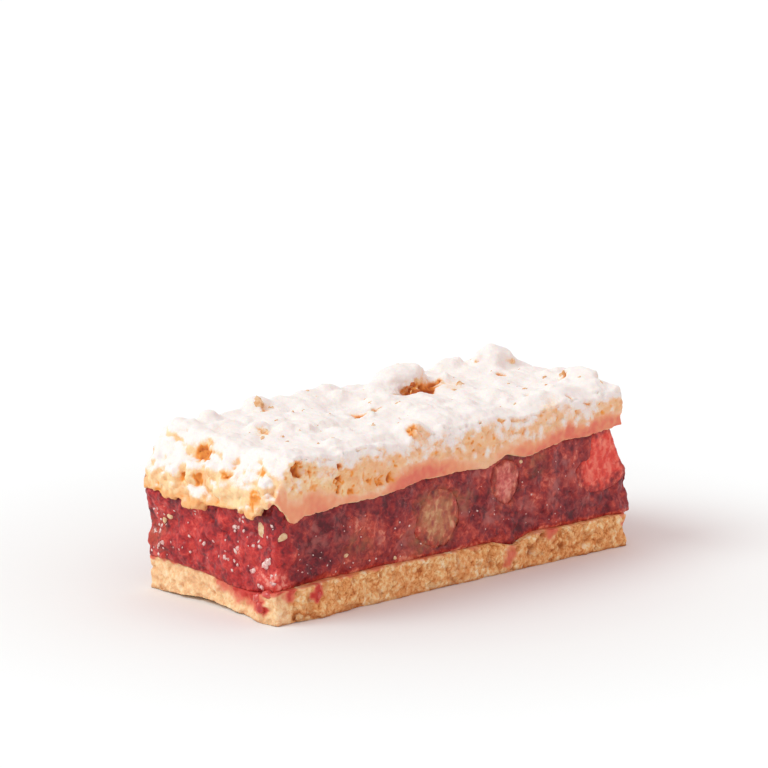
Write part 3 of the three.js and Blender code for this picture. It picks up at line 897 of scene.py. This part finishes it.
def crumbleMaterial():
    # baked butter crumble dusted with icing sugar: a porous golden crumb, with painted shade darkening its
    # gaps, hollows and the crushed end's lower edge, stained by juice where it lies on the filling, under a
    # soft coat of powder that thins out to specks
    look = butterCrumble
    material, tree, shader, place, marks = startMaterial(
        "sugaredCrumble", ("tint", "sugar", "toast", "stain", "blush"),
        Roughness=0.9, Subsurface_Weight=0.15, Subsurface_Scale=1.2 * mm,
    )
    fine = clouds(tree, place, look["patterns"]["fine"], 3.0)
    powder = clouds(tree, place, look["patterns"]["powder"])
    drift = clouds(tree, place, look["patterns"]["drift"], 3.0)
    level = sumOf(tree, -0.25, [(marks["tint"], 1.0), (fine, 0.5)])
    crumb = addNode(tree, "ShaderNodeValToRGB", {"stops": look["colours"]}, {"Fac": level})
    rose = addNode(tree, "ShaderNodeValToRGB", {"stops": look["stains"]}, {"Fac": marks["stain"]})
    toastShadeRamp = addNode(tree, "ShaderNodeValToRGB", {"stops": look["toastAndShadeColours"]}, {"Fac": marks["toast"]})
    film = softStep(tree, sumOf(tree, marks["sugar"], [(drift, 0.25)]), 0.2, 0.85, 0.7)
    coat = softStep(tree, sumOf(tree, marks["sugar"], [(powder, 0.7), (drift, 0.2)]), 0.68, 1.25)
    colour = layerColours(tree, crumb.outputs["Color"], [
        (softStep(tree, drift, 0.4, 0.7, 0.35), "#efb285"), (marks["blush"], "#f1b990"),
        (softStep(tree, marks["stain"], 0.02, 0.3), rose.outputs["Color"]),
        (softStep(tree, marks["toast"], 0.05, 0.5), toastShadeRamp.outputs["Color"]),
        (film, "#f6dfca"), (coat, "#f4ebe6"),
    ])
    tree.links.new(colour, shader.inputs["Base Color"])
    addBump(tree, shader, sumOf(tree, 0.0, [(fine, 0.6), (powder, 0.4)]), 0.5, 0.22)
    return material


def cutFaces(points, normals):
    # how surely a point lies on a sawn side of the topping: both long sides and the +X end
    look = butterCrumble
    longSide = ease(np.abs(normals[:, 1]), 0.5, 0.8) * ease(np.abs(points[:, 1]), *look["sawnSide"])
    return np.maximum(longSide, ease(normals[:, 0], 0.5, 0.8) * ease(points[:, 0], *look["sawnEnd"]))


def aboveRim(points, mask):
    # height over the lowest place of the same sawn side nearby, both long sides taken one by one
    width, count, start = 1.6, 90, 60
    columns = np.round((points[:, 0] + start) / width).astype(int)
    over = np.empty(len(points))
    for which in (points[:, 1] < 0, points[:, 1] >= 0):
        lowest = np.full(count, np.inf)
        chosen = which & mask
        np.minimum.at(lowest, columns[chosen], points[chosen, 2])
        known = np.flatnonzero(np.isfinite(lowest))
        lowest = np.interp(np.arange(count), known, lowest[known])
        over[which] = (points[:, 2] - lowest[columns])[which]
    return over


def skyOpenness(tree, points, normals):
    # share of the powder's falling directions that reach each point
    fall = butterCrumble["powderFall"]
    lean = fall["lean"]
    tilts = [Vector((0, 0, 1))]
    for angle in fall["turns"]:
        tilts.append(Vector((lean * math.cos(angle), lean * math.sin(angle), 1)).normalized())
    seen = np.zeros(len(points))
    starts = ((points + fall["start"] * normals + barMiddle) * mm).tolist()
    for tilt in tilts:
        seen += [tree.ray_cast(start, tilt, fall["reach"] * mm)[0] is None for start in starts]
    return seen / len(tilts)


def makeCrumble():
    look = butterCrumble
    shape = nodeCopy("crumble_topping")
    squareRim(shape)
    piece = newPiece("crumbleTopping", shape, ["crumble_topping"])
    voxelRemesh(piece, look["firstVoxel"])
    points, normals = readPoints(piece), readNormals(piece)
    crumbly = (1 - cutFaces(points, normals)) * ease(normals[:, 2], -0.3, 0.1)
    softened = blurred(piece, points, 4) - look["sunk"] * normals
    points += (softened - points) * crumbly[:, None]
    # the upright corner towards the camera has crumbled round
    corner = look["corner"]
    away = np.hypot(*(points[:, :2] - corner["middle"]).T)
    worn = (1 - ease(away, *corner["reach"])) * ease(points[:, 2], *corner["up"])
    points += (blurred(piece, points, corner["blurs"]) - points) * worn[:, None]
    for along, across, reach, height in look["rises"]:
        near = np.exp(-np.hypot(points[:, 0] - along, points[:, 1] - across) ** 2 / reach ** 2)
        points[:, 2] += height * near * ease(points[:, 2], 31, 38)
    writePoints(piece, points)
    crumbs = scatterCrumbs(surfaceTree(piece))
    crumbs.from_mesh(piece.data)
    crumbs.to_mesh(piece.data)
    crumbs.free()
    points, normals = evenMesh(piece, look, crumbleMaterial())
    sawn = cutFaces(points, normals)
    over = aboveRim(points, sawn > 0.5) + 0.7 * grain(points, 4, 8)
    reach = np.interp(points[:, 0], look["stainPlaces"], look["stainHeights"])
    band = 1 - ease(over, 0.3 * reach, 1.5 * reach)
    topside = (1 - sawn) * ease(points[:, 0], -50, -44) * ease(normals[:, 2], 0.2, 0.6)
    crushedEnd = ease(-points[:, 0], *look["crushedEnd"]) * (1 - sawn)
    strewn = wandering(points, 2, 0.5, 81)
    dome, _, tint = cells(strewn, look["grainPitch"], seed=3)
    bigDome, _, bigTint = cells(strewn, look["clumpPitch"], seed=5)
    gaps = spots(wandering(points, 1.1, 0.8, 51), look["gaps"])
    pores = ease(-grain(points, 1.5, 1), 0.3, 0.8) * sawn * (1 - band)
    rough = (1 - 0.5 * band * sawn) * (1 - 0.4 * topside)
    relief = mixed(look["grainRelief"], sawn) * (dome - 0.85) + 0.2 * grain(points, 3, 2)
    clumps = look["clumpRelief"]
    relief += (clumps["sawn"] * sawn + clumps["crushed"] * crushedEnd) * (bigDome - 0.85)
    holes = look["poreDepth"] * pores + gaps * (1 - 0.5 * crushedEnd)
    points += normals * (relief * rough - holes)[:, None]
    writePoints(piece, points)
    normals = readNormals(piece)
    smooth = blurred(piece, points, 14)
    openness = blurred(piece, skyOpenness(surfaceTree(piece), points, normals), 2)
    facing = blurred(piece, normals[:, 2], 3)
    high = ease(points[:, 2], 30, 38)
    uneven = 0.16 * grain(points, 4.5, 5) + 0.12 * grain(points, 1.6, 15)
    knobs = 0.3 * (bigDome - 0.6) * crushedEnd
    sugar = ease(facing * openness + uneven + 0.14 * high + knobs, 0.0, 0.75)
    patchy = 0.3 * (dome - 0.7) + 0.25 * tint + 0.35 * grain(points, 1.8, 7) + 0.2 * grain(points, 6, 17)
    toTheEnd = 0.16 * ease(points[:, 0], 0, 30)
    dust = sawn * (1 - band) * (0.12 + 0.26 * ease(over, 4, 10) + toTheEnd + patchy)
    bare = np.clip(1.3 * gaps, 0, 1) + spots(wandering(points, 2, 0.8, 61), look["thinSugar"]) * 0.7
    sugar = blurred(piece, np.maximum(sugar, dust) * (1 - np.clip(bare, 0, 1)), 1)
    hollow = np.einsum("ij,ij->i", smooth - points, normals)
    settled = 0.6 * ease(sugar, 0.3, 0.9) * (1 - 0.6 * sawn) * (1 - 0.5 * crushedEnd)
    points += (smooth - points) * settled[:, None]
    points[:, 2] += look["sugarThickness"] * sugar * ease(normals[:, 2], 0, 0.5)
    powdery = 0.09 * grain(points, 0.9, 19) + 0.13 * grain(points, 2, 20)
    points += normals * (powdery * sugar)[:, None]
    writePoints(piece, points)
    strength = np.interp(points[:, 0], look["stainPlaces"], look["stainStrengths"])
    pits = sawn * (1 - band) * ease(grain(points, 1.3, 23), 0.15, 0.7)
    # painted shade: darker along the crushed end's lower edge, in hollows and in the gaps; the pits are a
    # real darker tone
    lowEdgeShade = crushedEnd * (1 - ease(points[:, 2] - 0.7 * grain(points, 2, 25), 24.5, 27))
    hollowShade = ease(hollow, 0.12, 0.6) * (0.55 - 0.1 * sawn) * (1 - 0.7 * band)
    gapShade = 0.95 * np.clip(gaps, 0, 1) * (1 - 0.3 * sawn - 0.35 * crushedEnd)
    blotches = 1 + 0.3 * grain(points, 4, 10) + 0.3 * grain(points, 1.3, 27)
    return finishPiece(
        piece, sugar=sugar, tint=0.55 + 0.24 * tint + 0.14 * bigTint + 0.12 * grain(points, 6, 9),
        toast=hollowShade + 0.5 * pits + 0.35 * lowEdgeShade + gapShade, stain=band * sawn * strength * blotches,
        blush=0.55 * sawn * ease(points[:, 0], -40, -20),
    )


# crumbs that have come loose

looseCrumbs = {
    # crumbs lying in the sugar: across the top, half size
    "onTop": [
        ((-28.2, 15.5), 1.5), ((-25.6, 14.2), 1.1), ((-30.4, 12), 0.9), ((-9.4, -2.6), 1.1),
        ((-7, -0.6), 1), ((-40.2, -0.4), 1.2), ((-43, -3.4), 0.8), ((-33.5, 3), 0.7), ((27.4, -1.4), 0.8),
        ((20.6, 0.8), 1.1), ((24.2, 2.6), 1.2), ((39.6, 3), 1), ((46.2, -3.8), 0.9), ((48.4, -8.4), 1.1),
        ((-2.5, 6.5), 0.6), ((3.6, -8.8), 0.6), ((-20.4, 8.6), 0.7), ((-17, -12.4), 0.6),
        ((33.4, -10.4), 0.7), ((-36, -14.6), 0.6),
    ],
    "strayTop": {"count": 60, "along": (-50, 52), "across": (-20, 21)},
    # crumbs at the foot of the base: start along the bar's -Y side, height, half size
    "atFoot": [
        (-49.1, 0.7, 1.2), (-47, 0.5, 0.7), (-8.4, 1.2, 1.1), (-6.6, 0.7, 0.8), (-0.5, 1.4, 0.8),
        (1, 0.5, 0.6), (15, 0.8, 0.7), (33, 0.7, 0.8), (-27, 0.6, 0.8), (46, 0.8, 0.7),
    ],
}


def makeLooseCrumbs(base, topping):
    look = looseCrumbs
    starts = [(*place, size) for place, size in look["onTop"]]
    stray = look["strayTop"]
    for _ in range(stray["count"]):
        place = (random.uniform(*stray["along"]), random.uniform(*stray["across"]))
        starts.append((*place, 0.25 + 0.4 * random.random() ** 2))
    onTop = []
    for along, across, size in starts:
        spot, normal = landing(topping, "top", along, across)
        radii = (size, size * random.uniform(0.7, 1), size * random.uniform(0.5, 0.8))
        onTop.append((spot - np.array(normal) * 0.45 * size, radii, anyTurn(normal)))
    # toasted crumbs on the sugar, lightly powdered themselves
    toasted = plainMaterial("toastedCrumb", ("#d99a62", "#f3d2ae"), 1.1, Roughness=0.9)
    newPiece("toastedCrumbs", lumpShape(lumpTemplates(10, 2, 0.8), onTop), (), toasted)
    atFoot = []
    for along, up, size in look["atFoot"]:
        spot, _ = landing(base, "front", along, up)
        radii = (size, size * 0.6, size * random.uniform(0.6, 0.8))
        centre = np.array((spot[0], spot[1] + 0.1, max(spot[2], 0.85 * size)))
        atFoot.append((centre, radii, Matrix.Rotation(random.uniform(-0.4, 0.4), 3, "Y")))
    # pale crumbs pressed against the foot of the base
    pressed = plainMaterial("pressedCrumb", ("#dca468", "#f3d3a4"), 1.0, Roughness=0.9)
    newPiece("footCrumbs", lumpShape(lumpTemplates(5, 2, 0.8), atFoot), (), pressed)
    print("loose crumbs placed")


placeCamera()
placeStudio()
shortcrustBase = makeBase()
currantFilling = makeFilling()
makeFruitPieces()
crumbleTopping = makeCrumble()
makeFruitBits(surfaceTree(currantFilling), surfaceTree(shortcrustBase))
makeLooseCrumbs(surfaceTree(shortcrustBase), surfaceTree(crumbleTopping))
